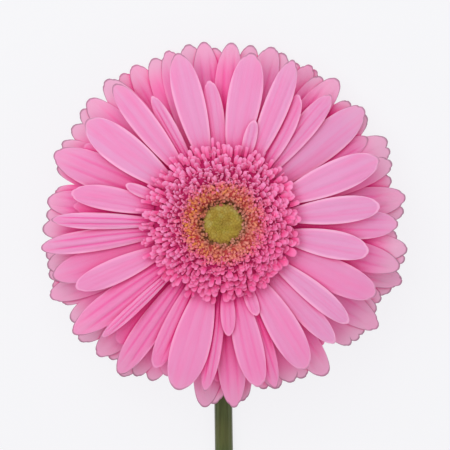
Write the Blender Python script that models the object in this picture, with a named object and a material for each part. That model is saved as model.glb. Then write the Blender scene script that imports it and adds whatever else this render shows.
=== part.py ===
"""A cut gerbera laid on a table: one long leafless stem, bent at the neck so that the head faces up.

Millimetres and degrees are used for every named value; meshes are written in metres.
World frame: +Z up, the stem lies along -Y, the head is at +Y. The head has a frame of its own,
whose +Z is the axis of the flower and whose +Y points away from the stem. Its origin lies on that
axis, at the height where the ray florets grow from the receptacle.
"""
import math

import bmesh
import bpy
from mathutils import Vector

MM = 0.001
GAP = 0.4                     # clear space left between pieces that touch on the real flower

# The head: where it sits and how it leans away from the stem.
HEAD_TILT = 18.0              # lean of the flower's axis from vertical, towards +Y
HEAD_Y = 165.5                # puts the middle of the whole length at Y = 0
HEAD_Z = 36.65                # lets the lowest ray florets reach the table

# The stem, from the cut end to the receptacle that it widens into.
STEM_LENGTH = 400.0
NECK_RADIUS = 2.7
STEM_RADIUS = 2.9
CUT_END_RADIUS = 3.5
STEM_SWAY = 5.0               # how far the lying stem wanders sideways
NECK_Z = -17.5                # head height where the straight neck starts to bend
BEND_STEPS = 8
STRAIGHT_STEPS = 9
STEM_SIDES = 16
RECEPTACLE_PROFILE = (        # head height, radius
    (-15.5, 3.0), (-13.5, 4.1), (-11.5, 6.2), (-9.5, 8.8), (-7.8, 11.0), (-6.4, 11.8))
RIM_RADIUS = 16.4
RIM_Z = 1.5
RIM_TAPER = 0.587             # loss of radius for each unit below the rim
CROWN_Z = 1.9
CROWN_RADIUS = 8.0

# Rings of small florets and the bracts: closed outlines of radius and head height.
BUDS_PROFILE = ((0.0, 2.3), (6.3, 2.3), (6.7, 5.0), (6.0, 6.6), (3.6, 6.3), (0.0, 5.4))
DISC_PROFILE = ((6.8, 2.3), (10.9, 2.3), (12.6, 7.2), (11.4, 8.3), (9.2, 8.4), (7.3, 6.9), (7.1, 5.0))
TRANS_PROFILE = (
    (11.5, 2.3), (16.4, 2.4), (24.8, 5.2), (25.1, 6.4), (22.5, 8.3), (19.6, 9.5), (16.8, 10.2),
    (14.0, 9.4), (13.1, 7.2))
BRACT_PROFILE = (
    (3.4, -15.7), (4.5, -13.8), (6.6, -11.8), (9.2, -9.8), (11.4, -8.1), (12.4, -6.95),
    (16.4, -7.2), (15.7, -8.7), (13.1, -10.8), (9.6, -13.2), (6.2, -15.6), (4.1, -17.2))
TRANS_STEPS = 72              # facets around each turned ring
RING_STEPS = 36
EDGE_NOTCH = 0.8              # every second corner of a notched edge is drawn in by this much

# Ray florets. Each grows from the rim of the receptacle at a level: 0 is the topmost.
LEVEL_STEP = 1.0              # how much lower each level starts
TOP_LEVEL_Z = 1.1
TOP_RISE = 0.23               # slope of the topmost level at its base
RISE_STEP = 0.04              # how much less each level rises
SAG = 0.0066                  # downward curve, per mm
BLADE_THICKNESS = 0.6
BLADE_STATIONS = (0.0, 0.1, 0.22, 0.4, 0.62, 0.8, 0.92, 0.993)
BLADE_COLUMNS = 4
CLAW_FRACTION = 0.22          # width at the base over the greatest width
WIDEST_AT = 0.64              # where along its length a blade is widest
CHANNEL = 0.055               # rise of the edges at the base over the half-width
TIP_FALL = 0.09               # fall of the edges at the tip over the half-width

# Tip bearing (anticlockwise from +X), reach, width, level, shift of the base, roll.
SHORT_RAYS = (
    (73, 33.5, 4.2, 0, -2, 0), (158.5, 32.3, 3.6, 0, 0, 0), (273.5, 35.0, 4.6, 0, 0, 0),
    (290.5, 30.5, 4.0, 0, 0, 0))
FRONT_RAYS = (
    (6.5, 49.4, 8.5, 1, 0, 0), (22.5, 53.0, 10.2, 1, -0.3, 0), (38.7, 57.8, 10.8, 4, 0, 0),
    (49.5, 53.0, 7.2, 3, 0, 0), (59.5, 46.8, 6.8, 2, -5, -10), (66.5, 55.8, 7.8, 1, -2.5, 0),
    (80, 54.2, 10.6, 1, 0, 0), (95.5, 44.8, 5.8, 2, -3, -6), (105, 55.2, 9.4, 1, 0, 0),
    (119, 45.5, 4.6, 2, 0, -8), (128, 55.2, 7.8, 1, 0, 0), (143.2, 53.4, 11.2, 1, 0.5, 0),
    (157.5, 57.6, 11.2, 3, 0, 0), (168.3, 48.2, 7.6, 1, -1.5, 0), (178.9, 53.6, 5.2, 1, 0, 0),
    (187.5, 57.6, 7.0, 2, 0, 0), (197.5, 56.2, 9.6, 3, 0, 0), (204, 50.0, 7.8, 1, 0, 0),
    (216.5, 58.4, 9.2, 2, 0, 4), (223.5, 51.8, 3.6, 1, 0.5, 4), (235, 57.8, 8.2, 3, 0, 0),
    (244.8, 50.0, 7.0, 2, 0, 5), (255.0, 54.0, 12.0, 1, 1, 0), (264, 53.0, 5.4, 2, 3.5, 8),
    (273.7, 58.6, 9.0, 4, 0, 0), (282.5, 52.4, 9.0, 1, -1, 0), (288, 54.5, 6.2, 2, 1, -6),
    (300.3, 52.6, 9.8, 1, 0, 0), (313.3, 51.5, 7.2, 2, 0, 0), (322.0, 50.2, 6.8, 1, 1.5, 0),
    (335, 53.2, 10.2, 2, 0, 0), (349.5, 46.4, 8.8, 1, -0.5, 0), (359.5, 55.4, 9.4, 3, 0, 0))
BACK_RAYS = (
    (30.5, 53.6, 7.6, 5, 0, 0), (172.5, 56.0, 9.2, 4, 0, 0), (346.5, 58.0, 9.2, 4, 0, 0),
    (87.5, 57.4, 8.8, 4, 0, 0), (8, 59.2, 10.4, 6, 0, 0), (51.5, 58.8, 9.6, 5, 0, 0),
    (61, 58.2, 8.8, 7, 0, 0), (74.5, 58.4, 10.0, 5, 0, 0), (96, 58.2, 8.8, 5, 0, 0),
    (108, 58.0, 9.0, 6, 0, 0), (119, 58.2, 9.2, 7, 0, 0), (138, 58.2, 10.2, 5, 0, 0),
    (203.5, 60.0, 9.0, 6, 0, 0), (227, 58.2, 10.0, 6, 0, 0), (264.5, 59.2, 9.8, 6, 0, 0),
    (304, 58.6, 9.8, 5, 0, 0), (326.5, 60.0, 10.2, 6, 0, 0), (341.5, 60.8, 9.0, 7, 0, 0))

PINK = (0.83, 0.30, 0.52, 1)
DEEP_PINK = (0.74, 0.16, 0.38, 1)
ORANGE_BROWN = (0.55, 0.16, 0.08, 1)
OLIVE_YELLOW = (0.36, 0.33, 0.06, 1)
LEAF_GREEN = (0.10, 0.16, 0.04, 1)
STEM_GREEN = (0.08, 0.11, 0.03, 1)
TISSUE_ROUGHNESS = 0.55


def clear_scene():
    """Removes whatever the opened file holds."""
    for item in list(bpy.data.objects):
        bpy.data.objects.remove(item, do_unlink=True)


def make_material(name, colour):
    """The plain, half-matte finish of plant tissue for one sub-part."""
    material = bpy.data.materials.new(name)
    material.use_nodes = True
    surface = material.node_tree.nodes["Principled BSDF"]
    surface.inputs["Base Color"].default_value = colour
    surface.inputs["Roughness"].default_value = TISSUE_ROUGHNESS
    surface.inputs["Metallic"].default_value = 0.0
    return material


def add_object(name, mesh_builder, colour, parent=None):
    """Turns a filled bmesh into a named object with its own material."""
    bmesh.ops.recalc_face_normals(mesh_builder, faces=mesh_builder.faces)
    mesh = bpy.data.meshes.new(name)
    mesh_builder.to_mesh(mesh)
    mesh_builder.free()
    mesh.shade_smooth()
    mesh.materials.append(make_material(name + "_finish", colour))
    item = bpy.data.objects.new(name, mesh)
    item.parent = parent
    bpy.context.collection.objects.link(item)
    return item


def add_head():
    """The empty that carries every piece of the flower head."""
    head = bpy.data.objects.new("head", None)
    head.location = Vector((0.0, HEAD_Y, HEAD_Z)) * MM
    head.rotation_euler = (-math.radians(HEAD_TILT), 0.0, 0.0)
    bpy.context.collection.objects.link(head)
    return head


def skin_rings(rings):
    """Joins a row of closed rings of points with faces and closes both ends."""
    builder = bmesh.new()
    loops = [[builder.verts.new(Vector(point) * MM) for point in ring] for ring in rings]
    for near, far in zip(loops, loops[1:]):
        for i in range(len(near)):
            j = (i + 1) % len(near)
            builder.faces.new((near[i], near[j], far[j], far[i]))
    builder.faces.new(loops[0])
    builder.faces.new(loops[-1])
    return builder


def stem_stations():
    """Centre, cross direction and radius along the stem, from the receptacle's top to the cut end."""
    tilt = math.radians(HEAD_TILT)
    axis = Vector((0.0, math.sin(tilt), math.cos(tilt)))
    across = Vector((0.0, math.cos(tilt), -math.sin(tilt)))
    origin = Vector((0.0, HEAD_Y, HEAD_Z))
    crown = [(CROWN_Z, CROWN_RADIUS), (RIM_Z, RIM_RADIUS)]
    for height, radius in crown + list(reversed(RECEPTACLE_PROFILE)):
        yield origin + axis * height, across, radius

    bend_start = origin + axis * NECK_Z
    bend_radius = (bend_start.z - STEM_RADIUS) / (1.0 - math.sin(tilt))
    bend_centre = bend_start - across * bend_radius
    bend_angle = math.pi / 2 - tilt
    for step in range(BEND_STEPS + 1):
        angle = tilt + bend_angle * step / BEND_STEPS
        outward = Vector((0.0, math.cos(angle), -math.sin(angle)))
        radius = NECK_RADIUS + (STEM_RADIUS - NECK_RADIUS) * step / BEND_STEPS
        yield bend_centre + outward * bend_radius, outward, radius

    straight = STEM_LENGTH - bend_radius * bend_angle + NECK_Z
    down = Vector((0.0, 0.0, -1.0))
    for step in range(1, STRAIGHT_STEPS + 1):
        along = step / STRAIGHT_STEPS
        radius = STEM_RADIUS + (CUT_END_RADIUS - STEM_RADIUS) * along
        sway = STEM_SWAY * math.sin(math.pi * along) * along
        yield Vector((sway, bend_centre.y - straight * along, radius)), down, radius


def receptacle_radius(height):
    """Radius of the tapered rim that the ray florets grow from."""
    return RIM_RADIUS - RIM_TAPER * (RIM_Z - height)


def add_stem():
    """The leafless stem and the receptacle that it widens into, grown as one piece."""
    side = Vector((1.0, 0.0, 0.0))
    turns = [2 * math.pi * i / STEM_SIDES for i in range(STEM_SIDES)]
    rings = []
    for centre, across, radius in stem_stations():
        rings.append([centre + (side * math.sin(a) + across * math.cos(a)) * radius for a in turns])
    return add_object("stem", skin_rings(rings), STEM_GREEN)


def add_turned(name, profile, steps, notch, colour, parent):
    """Spins a closed outline about the flower's axis, then notches its outermost edge."""
    builder = bmesh.new()
    corners = [builder.verts.new(Vector((radius, 0.0, height)) * MM) for radius, height in profile]
    edges = []
    for first, second in zip(corners, corners[1:] + corners[:1]):
        if first.co.x > 0.0 or second.co.x > 0.0:
            edges.append(builder.edges.new((first, second)))
    bmesh.ops.spin(
        builder, geom=corners + edges, axis=(0, 0, 1), cent=(0, 0, 0), steps=steps,
        angle=2 * math.pi, use_merge=True)
    bmesh.ops.remove_doubles(builder, verts=builder.verts, dist=0.001 * MM)
    outermost = max(radius for radius, _ in profile)
    for corner in builder.verts:
        step = round(math.atan2(corner.co.y, corner.co.x) * steps / (2 * math.pi))
        if step % 2 and corner.co.xy.length > (outermost - 0.01) * MM:
            corner.co.xy *= 1.0 - notch / outermost
    return add_object(name, builder, colour, parent)


def outline_fraction(along):
    """Half-width of a ray floret over its greatest half-width."""
    if along < WIDEST_AT:
        swell = math.sin(math.pi / 2 * along / WIDEST_AT)
        return CLAW_FRACTION + (1.0 - CLAW_FRACTION) * swell
    past = (along - WIDEST_AT) / (1.0 - WIDEST_AT)
    return math.sqrt(1.0 - past * past)


def blade_height(level, distance):
    """Head height of a ray floret's midrib at a distance from its base."""
    base = TOP_LEVEL_Z - LEVEL_STEP * level
    return base + (TOP_RISE - RISE_STEP * level) * distance - SAG * distance * distance


def add_ray(name, bearing, reach, width, level, base_shift, roll, parent):
    """One strap-shaped ray floret: a curved sheet, thickened to both sides."""
    root = receptacle_radius(blade_height(level, 0.0) + BLADE_THICKNESS / 2) + GAP
    shift = math.radians(base_shift)
    leave = Vector((math.cos(shift), math.sin(shift)))
    start = leave * root
    end = Vector((reach, 0.0))
    bend = start + leave * (end - start).length / 2
    length = (end - start).length
    builder = bmesh.new()
    rows = []
    for along in BLADE_STATIONS:
        centre = start * (1 - along) ** 2 + bend * 2 * along * (1 - along) + end * along ** 2
        tangent = ((bend - start) * (1 - along) + (end - bend) * along).normalized()
        sideways = Vector((-tangent.y, tangent.x))
        half = width / 2 * outline_fraction(along)
        height = blade_height(level, length * along)
        row = []
        for column in range(BLADE_COLUMNS + 1):
            offset = 2.0 * column / BLADE_COLUMNS - 1.0
            place = centre + sideways * half * offset
            curl = (CHANNEL * (1 - along) - TIP_FALL * along) * half * offset * offset
            lean = math.tan(math.radians(roll)) * half * offset
            row.append(builder.verts.new(Vector((place.x, place.y, height + curl + lean)) * MM))
        rows.append(row)
    for near, far in zip(rows, rows[1:]):
        for i in range(BLADE_COLUMNS):
            builder.faces.new((near[i], near[i + 1], far[i + 1], far[i]))
    ray = add_object(name, builder, PINK, parent)
    ray.rotation_euler = (0.0, 0.0, math.radians(bearing))
    thicken = ray.modifiers.new("thickness", "SOLIDIFY")
    thicken.thickness = BLADE_THICKNESS * MM
    thicken.offset = 0.0
    return ray


def main():
    clear_scene()
    head = add_head()
    add_stem()
    add_turned("bracts", BRACT_PROFILE, RING_STEPS, EDGE_NOTCH, LEAF_GREEN, head)
    add_turned("trans_florets", TRANS_PROFILE, TRANS_STEPS, EDGE_NOTCH, DEEP_PINK, head)
    add_turned("disc_florets", DISC_PROFILE, RING_STEPS, 0.0, ORANGE_BROWN, head)
    add_turned("disc_buds", BUDS_PROFILE, RING_STEPS, 0.0, OLIVE_YELLOW, head)
    for group, rays in (("short", SHORT_RAYS), ("front", FRONT_RAYS), ("back", BACK_RAYS)):
        for number, ray in enumerate(rays, start=1):
            add_ray(f"{group}_ray_{number:02d}", *ray, head)


main()
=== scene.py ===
# %% [markdown]
# # A cut gerbera
# The head of a gerbera is several hundred small flowers, called florets, packed on a disc. The long
# outer ones are the "petals", a fringe of short ones stands inside them, then come the open disc florets,
# and in the middle those that are still buds. Each kind gets a small function of its own here, and a
# frame of plain solids says where everything is.

# %% Load the fixed frame
import math
import random

import bmesh
import bpy
import numpy as np
from mathutils import Matrix, Vector


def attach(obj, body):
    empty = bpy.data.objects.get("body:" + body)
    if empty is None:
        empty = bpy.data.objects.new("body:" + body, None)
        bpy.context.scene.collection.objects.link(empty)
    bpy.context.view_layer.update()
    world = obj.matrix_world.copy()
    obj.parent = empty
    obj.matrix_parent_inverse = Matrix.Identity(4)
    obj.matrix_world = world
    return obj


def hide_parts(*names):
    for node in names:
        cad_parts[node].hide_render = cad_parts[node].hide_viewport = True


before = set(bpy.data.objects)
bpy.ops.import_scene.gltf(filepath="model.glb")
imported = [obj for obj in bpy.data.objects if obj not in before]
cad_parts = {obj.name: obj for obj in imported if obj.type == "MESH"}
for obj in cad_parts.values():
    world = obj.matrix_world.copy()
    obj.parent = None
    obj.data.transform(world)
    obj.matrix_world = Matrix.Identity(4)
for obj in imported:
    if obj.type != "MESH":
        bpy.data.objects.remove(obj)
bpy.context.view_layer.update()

MM = 0.001


def in_mm(metres):
    """Rounded millimetres, for printing."""
    return (np.array(metres) / MM).round(1).tolist()


# %% [markdown]
# ## The flower's own axis
# The head leans on its bent neck, so nothing in it is level. It is easier to model a head that faces
# straight up and to turn the finished points into place. The axis could be typed in, but two round
# solids already mark it: it runs from the middle of the bracts to the middle of the bud disc.

# %% Find the head's axis from the frame
def frame_corners(node):
    """Every corner of a CAD solid once, in metres."""
    builder = bmesh.new()
    builder.from_mesh(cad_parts[node].data)
    bmesh.ops.remove_doubles(builder, verts=builder.verts, dist=0.02 * MM)
    corners = np.array([corner.co[:] for corner in builder.verts])
    builder.free()
    return corners


BUD_BASE_HEIGHT = 2.3  # head height of the underside of the bud disc, mm
bud_corners = frame_corners("disc_buds")
bract_middle = Vector(frame_corners("bracts").mean(axis=0))
head_up = (Vector(bud_corners.mean(axis=0)) - bract_middle).normalized()
head_right = Vector((1.0, 0.0, 0.0))
head_back = head_up.cross(head_right)
lowest_bud = min(Vector(corner).dot(head_up) for corner in bud_corners)
head_origin = bract_middle + head_up * (lowest_bud - bract_middle.dot(head_up) - BUD_BASE_HEIGHT * MM)
HEAD_AXES = np.array((head_right, head_back, head_up))


def to_head(points):
    """World metres to head millimetres."""
    return (np.asarray(points) - np.array(head_origin)) @ HEAD_AXES.T / MM


def to_world(points):
    """Head millimetres to world metres."""
    return np.asarray(points) * MM @ HEAD_AXES + np.array(head_origin)


print("head leans", round(math.degrees(math.acos(head_up.z)), 2), "degrees, origin at mm", in_mm(head_origin))

# %% [markdown]
# ## The camera
# The flower is looked at straight into its face, so the camera stands on the head's axis. A long lens
# from far away keeps the ring of petals round and free of perspective.

# %% Place the camera on the axis
VIEW_DISTANCE = 750.0  # from the head's origin, mm
VIEW_WIDTH = 139.6  # how much of the head's plane the picture spans, mm
AIM_RIGHT = 0.8  # the picture's middle, measured from the axis, mm
AIM_BACK = -0.5
SENSOR = 36.0


def add_object(name, data):
    thing = bpy.data.objects.new(name, data)
    bpy.context.collection.objects.link(thing)
    return thing


camera = add_object("camera", bpy.data.cameras.new("camera"))
camera.data.sensor_width = SENSOR
camera.data.lens = SENSOR * VIEW_DISTANCE / VIEW_WIDTH
camera.matrix_world = Matrix((head_right, head_back, head_up)).transposed().to_4x4()
camera.matrix_world.translation = Vector(to_world((AIM_RIGHT, AIM_BACK, VIEW_DISTANCE)))
bpy.context.scene.camera = camera
print("lens", round(camera.data.lens, 1), "mm")

# %% [markdown]
# ## Small helpers for finishes
# A finish is a network of nodes. Writing each one out takes many lines, so these helpers put a node down,
# fill its sockets, and hand back what comes out of it as a reading, which can be used in sums like any
# number. Every floret carries named measures in its mesh, such as how far along it a point lies, and the
# finishes read them.

# %% Helpers that put nodes down
class Reading:
    """A value or colour on its way through a finish. A sum on it puts a Math node down."""

    def __init__(self, socket):
        self.socket = socket
        self.tree = socket.id_data

    def __add__(self, other):
        return work_out("ADD", self, other)

    def __sub__(self, other):
        return work_out("SUBTRACT", self, other)

    def __mul__(self, other):
        return work_out("MULTIPLY", self, other)

    def __abs__(self):
        return work_out("ABSOLUTE", self, 0.0)


def fill(node, sockets):
    """Fills named sockets of a node with values or readings."""
    for name, value in sockets.items():
        if isinstance(value, Reading):
            value.tree.links.new(value.socket, node.inputs[name])
        else:
            node.inputs[name].default_value = value


def put(tree, kind, output, sockets, **settings):
    """Adds a node, sets its properties, fills its sockets, and reads one of its outputs."""
    node = tree.nodes.new(kind)
    for name, value in settings.items():
        setattr(node, name, value)
    fill(node, sockets)
    return Reading(node.outputs[output])


def measures_of(tree, names):
    """Measures stored in the mesh, such as along and across."""
    return [put(tree, "ShaderNodeAttribute", "Fac", {}, attribute_name=name) for name in names.split()]


def own_place(tree):
    """The place of a point on its piece, in metres."""
    return put(tree, "ShaderNodeTexCoord", "Object", {})


def open_air_within(tree, reach):
    """1 in the open, and less the more a point is walled in by what lies within reach, in mm."""
    return put(tree, "ShaderNodeAmbientOcclusion", "AO", {"Distance": reach * MM}, samples=8)


def work_out(operation, first, second):
    return put(first.tree, "ShaderNodeMath", 0, {0: first, 1: second}, operation=operation)


def between(value, start, end):
    """Goes smoothly from 0 where value is start to 1 where value is end."""
    sockets = {"Value": value, "From Min": start, "From Max": end}
    return put(value.tree, "ShaderNodeMapRange", 0, sockets, interpolation_type="SMOOTHSTEP")


def tint(amount, *colours):
    """Mixes two colours: 0 gives the first, 1 the second. A plain colour is its red, green and blue."""
    first, second = (colour if isinstance(colour, Reading) else (*colour, 1.0) for colour in colours)
    return put(amount.tree, "ShaderNodeMix", 2, {0: amount, 6: first, 7: second}, data_type="RGBA")


def layered(colour, *layers):
    """Lays shades over a colour, one after the other. A layer is an amount and a shade."""
    for amount, shade in layers:
        colour = tint(amount, colour, shade)
    return colour


def place_in(first, second, third):
    """Three measures taken together as a place for a pattern."""
    return put(first.tree, "ShaderNodeCombineXYZ", 0, {0: first, 1: second, 2: third})


def mottle(place, scale, detail=2.0):
    """A soft uneven pattern between 0 and 1."""
    return put(place.tree, "ShaderNodeTexNoise", 0, {"Vector": place, "Scale": scale, "Detail": detail})


def emboss(height, depth, strength):
    """Turns a pattern into fine relief, depth in mm."""
    sockets = {"Height": height, "Distance": depth * MM, "Strength": strength}
    return put(height.tree, "ShaderNodeBump", 0, sockets)


def start_finish(name, sockets):
    """A new finish and its surface, with these sockets filled."""
    finish = bpy.data.materials.new(name)
    finish.use_nodes = True
    surface = finish.node_tree.nodes["Principled BSDF"]
    fill(surface, sockets)
    return finish, surface


def living_finish(name, mix, roughness, glow_through, sheen=0.0):
    """Living tissue: half matt, and light sinks a little way into it. mix makes its colour and relief."""
    finish, surface = start_finish(name, {
        "Roughness": roughness, "Specular IOR Level": 0.14, "Sheen Weight": sheen,
        "Subsurface Weight": glow_through, "Subsurface Radius": (0.6, 0.45, 0.55),
        "Subsurface Scale": 1.0 * MM})
    fill(surface, mix(finish.node_tree))
    print(name, "has", len(finish.node_tree.nodes), "nodes")
    return finish


print("helpers ready")

# %% [markdown]
# ## Table and light
# The flower lies on a white table in a bright room: soft light comes from everywhere, a wide lamp at the
# back left gives each petal a light side and a thin shadow, and a weaker one at the front right fills it.
# The table shines a little by itself, which keeps its shadows faint. It is as wide as a hall, and its
# edges turn up, so that a view from the side shows no end of it.

# %% Lay the table and hang the lamps
TABLE_SIZE = 40.0  # metres
TABLE_EDGE = 2.2  # height of its turned-up edges, metres
TABLE_WHITE = (0.10, 0.10, 0.1025, 1.0)
TABLE_GLOW = 8.08
ROOM_STRENGTH = 0.425
LAMPS = (  # right, back and up from the head in mm; size in metres; watts
    ("key_lamp", (-140.0, 330.0, 640.0), 0.6, 3.55),
    ("fill_lamp", (350.0, -250.0, 750.0), 0.8, 0.9))

table_mesh = bpy.data.meshes.new("table")
far = TABLE_SIZE / 2
outline = ((-far, -far), (far, -far), (far, far), (-far, far))
table_corners = [(x, y, z) for z in (0, TABLE_EDGE) for x, y in outline]
table_edges = [(side, side + 4, (side + 1) % 4 + 4, (side + 1) % 4) for side in range(4)]
table_mesh.from_pydata(table_corners, [], [(0, 1, 2, 3)] + table_edges)
table_finish, _ = start_finish("table_white", {
    "Base Color": TABLE_WHITE, "Emission Color": TABLE_WHITE, "Emission Strength": TABLE_GLOW,
    "Roughness": 0.8})
table_mesh.materials.append(table_finish)
table = add_object("table", table_mesh)

for name, place, size, power in LAMPS:
    lamp = add_object(name, bpy.data.lights.new(name, "AREA"))
    lamp.data.size = size
    lamp.data.energy = power
    lamp.location = head_origin + Vector(place) * MM
    lamp.rotation_euler = (-Vector(place)).to_track_quat("-Z", "Y").to_euler()
room = bpy.data.worlds.new("room")
room.use_nodes = True
fill(room.node_tree.nodes["Background"], {"Color": (1.0, 1.0, 1.0, 1.0), "Strength": ROOM_STRENGTH})
bpy.context.scene.world = room
bpy.context.scene.view_settings.view_transform = "Standard"
print(len(LAMPS), "lamps, the first", round(Vector(LAMPS[0][1]).length), "mm from the head")

# %% [markdown]
# ## The finish of a petal
# A pink gerbera petal is not one pink. Its middle is a cooler lilac, its margins and its foot are warmer
# and stronger, and fine parallel veins run its whole length. The margins also carry a painted light rim,
# and two deeper lines along the grooves divide it in three, partly vein colour and partly painted shade in
# the grooves. All of that follows the petal's own length and width, so the pattern is laid out in those two
# measures. Painted shade also darkens it to deep rose where its neighbours crowd it.

# %% Mix the petal finish
LILAC = (0.785, 0.35, 0.60)
ROSE = (0.875, 0.245, 0.515)
BLUSH = (0.92, 0.18, 0.45)
# a warmer pink of the margins themselves, and a painted light rim along them
MARGIN_ROSE_AND_RIM_LIGHT = (1.0, 0.48, 0.72)
FOOT_ROSE = (0.86, 0.12, 0.38)
REAR_ROSE = (0.95, 0.17, 0.45)
OUTER_TIP = (0.82, 0.47, 0.645)
# vein colour, also laid along the two grooves as painted shade
VEIN_ROSE_AND_GROOVE_SHADE = (0.86, 0.13, 0.42)
# painted shade where neighbouring petals crowd a petal, and deeper painted shade where they crowd it most
PAINTED_CLEFT_SHADE = (0.88, 0.04, 0.30)
PAINTED_DEEP_CLEFT_SHADE = (0.78, 0.012, 0.22)
RIM_GREY = (0.37, 0.17, 0.25)
CREVICE_REACH = 10.0  # how far from a petal its neighbours cast painted shade on it, mm
GROOVE_AT = 0.34  # place of the two long grooves, 0 at the midrib and 1 at the margin
APART = 40.0  # moves a pattern from petal to petal, so that no two share it


def mix_petal(tree):
    along, across, tone, whorl, rim = measures_of(tree, "along across tone whorl rim")
    folds, reach = measures_of(tree, "folds reach")
    apart = tone * APART

    bands = mottle(place_in(along * 0.7, across * 0.8, apart), 1.6)
    streaks = mottle(place_in(along * 0.4, across * 3.0, apart), 2.0)
    on_groove = between(abs(abs(across) - GROOVE_AT), 0.15, 0.0) * between(along, 1.0, 0.8)
    dry = between(rim, 0.9, 0.15) * between(reach, 49.0, 54.0)
    # Painted shade: deep rose where neighbours wall a point in, deeper on the rosier side, since light
    # bouncing between pink petals turns red.
    open_air = open_air_within(tree, CREVICE_REACH) - tone * 0.12
    cleft_shade = between(open_air, 0.87, 0.33) * (whorl * 0.3 + 0.7)
    colour = layered(
        tint(between(bands, 0.42, 0.70) * 0.6, LILAC, ROSE),
        (between(streaks, 0.45, 0.75) * 0.2, VEIN_ROSE_AND_GROOVE_SHADE),
        # painted shade in the two grooves, over their vein colour, stronger on rear and folded petals
        (on_groove * (whorl * 0.45 + 0.12 + folds * 0.9), VEIN_ROSE_AND_GROOVE_SHADE),
        # lighter margins: partly their own warmer pink, partly a painted light rim
        (between(rim, 1.15, 0.25) * 0.85, MARGIN_ROSE_AND_RIM_LIGHT),
        (between(along, 0.22, 0.02) * 0.5, FOOT_ROSE),
        (whorl * 0.75, REAR_ROSE),
        (tone * 0.6, BLUSH),
        (between(reach, 46.0, 56.0) * (whorl * 0.5 + 0.3), OUTER_TIP),
        (dry * 0.85, RIM_GREY),
        (cleft_shade, PAINTED_CLEFT_SHADE),
        (between(open_air, 0.46, 0.18), PAINTED_DEEP_CLEFT_SHADE))
    veins = mottle(place_in(along, across * 16.0, apart), 2.0, 3.0)
    cells = mottle(place_in(along * 90.0, across * 30.0, apart), 2.0)
    relief = emboss(veins + cells * 0.25, 0.16, 0.55)
    return {"Base Color": colour, "Normal": relief, "Roughness": veins * 0.2 + 0.46}


petal_finish = living_finish("petal_pink", mix_petal, 0.6, 0.4)
hindmost_finish = living_finish("hindmost_pink", mix_petal, 0.6, 0.0)

# %% [markdown]
# ## From a sheet of points to a solid
# Petals and bracts are thin, but a bare sheet of faces has no thickness and casts odd shadows. Blender's
# Solidify would give it one thickness everywhere. Here two skins are laid on both sides of a grid of
# points, so that a petal can be thick along its middle and thin at its edge.

# %% Turn grids of points into closed pieces
def skin_grid(rows, columns):
    """Faces of a closed thin solid: upper skin, lower skin, and the rim between them."""
    width = columns + 1
    count = (rows + 1) * width
    corner = np.arange(count).reshape(rows + 1, width)
    upper = np.stack((corner[:-1, :-1], corner[1:, :-1], corner[1:, 1:], corner[:-1, 1:]), axis=-1)
    upper = upper.reshape(-1, 4)
    lower = upper[:, ::-1] + count
    edge = np.concatenate((corner[:-1, 0], corner[-1, :-1], corner[:0:-1, -1], corner[0, :0:-1]))
    ahead = np.roll(edge, -1)
    rim = np.stack((edge + count, ahead + count, ahead, edge), axis=-1)
    return np.concatenate((upper, lower, rim))


def two_skins(middle, offset):
    """Points of the upper and the lower skin, laid on both sides of a grid of points."""
    return np.concatenate(((middle + offset).reshape(-1, 3), (middle - offset).reshape(-1, 3)))


def on_both(shape, **values):
    """Measures spread over a grid of points, once for each skin."""
    return {label: np.tile(np.broadcast_to(value, shape).ravel(), 2) for label, value in values.items()}


def make_piece(name, parts, finish, nodes, shift=(0.0, 0.0, 0.0)):
    """One object from many parts; a part is points in head mm, faces and a dict of measures."""
    points, faces, start = [], [], 0
    for part_points, part_faces, _ in parts:
        points.append(part_points)
        faces.extend((np.asarray(face) + start).tolist() for face in part_faces)
        start += len(part_points)
    mesh = bpy.data.meshes.new(name)
    mesh.from_pydata(to_world(np.concatenate(points) + shift).tolist(), [], faces)
    for label in parts[-1][2]:
        values = np.concatenate([np.broadcast_to(part[2][label], len(part[0])) for part in parts])
        layer = mesh.attributes.new(label, "FLOAT", "POINT")
        layer.data.foreach_set("value", values.astype(np.float32))
    mesh.materials.append(finish)
    mesh.shade_smooth()
    piece = add_object(name, mesh)
    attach(piece, "root")
    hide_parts(*nodes)
    return piece


print("a 2 x 2 grid gives", len(skin_grid(2, 2)), "faces")

# %% [markdown]
# ## Measuring the ray florets
# The frame holds every big petal as a coarse solid with eight rows of corners. Its midrib is a smooth
# curve that three numbers in each direction describe, and a least-squares fit finds them. That is
# steadier than smoothing over the coarse corners.

# %% Read midrib, width and roll from each solid
STATIONS = np.array((0.0, 0.1, 0.22, 0.4, 0.62, 0.8, 0.92, 0.993))  # where the rows of corners lie
WIDEST_ROW = 4


def unit(directions):
    """The same directions, each 1 long."""
    return directions / np.linalg.norm(directions, axis=-1, keepdims=True)


def measure_ray(node):
    """Midrib curve in head mm, half-width and roll of one ray floret of the frame."""
    corners = to_head(frame_corners(node))
    outward = unit(corners[:, :2].mean(axis=0))
    rows = corners[np.argsort(corners[:, :2] @ outward)].reshape(len(STATIONS), -1, 3)
    sideways = np.array((-outward[1], outward[0]))
    rows = np.array([row[np.argsort(row[:, :2] @ sideways)] for row in rows])
    middle = rows.shape[1] // 2
    midrib = np.polyfit(STATIONS, rows[:, middle - 1:middle + 1].mean(axis=1), 2)
    span = rows[WIDEST_ROW, -2:].mean(axis=0) - rows[WIDEST_ROW, :2].mean(axis=0)
    half = np.linalg.norm(span[:2]) / 2
    return {"midrib": midrib, "half": half, "roll": span[2] / (2 * half)}


ray_nodes = sorted(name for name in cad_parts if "_ray_" in name)
rays = {name: measure_ray(name) for name in ray_nodes}
print(len(rays), "ray florets, half-widths", round(min(r["half"] for r in rays.values()), 1), "to",
      round(max(r["half"] for r in rays.values()), 1), "mm")

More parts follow.
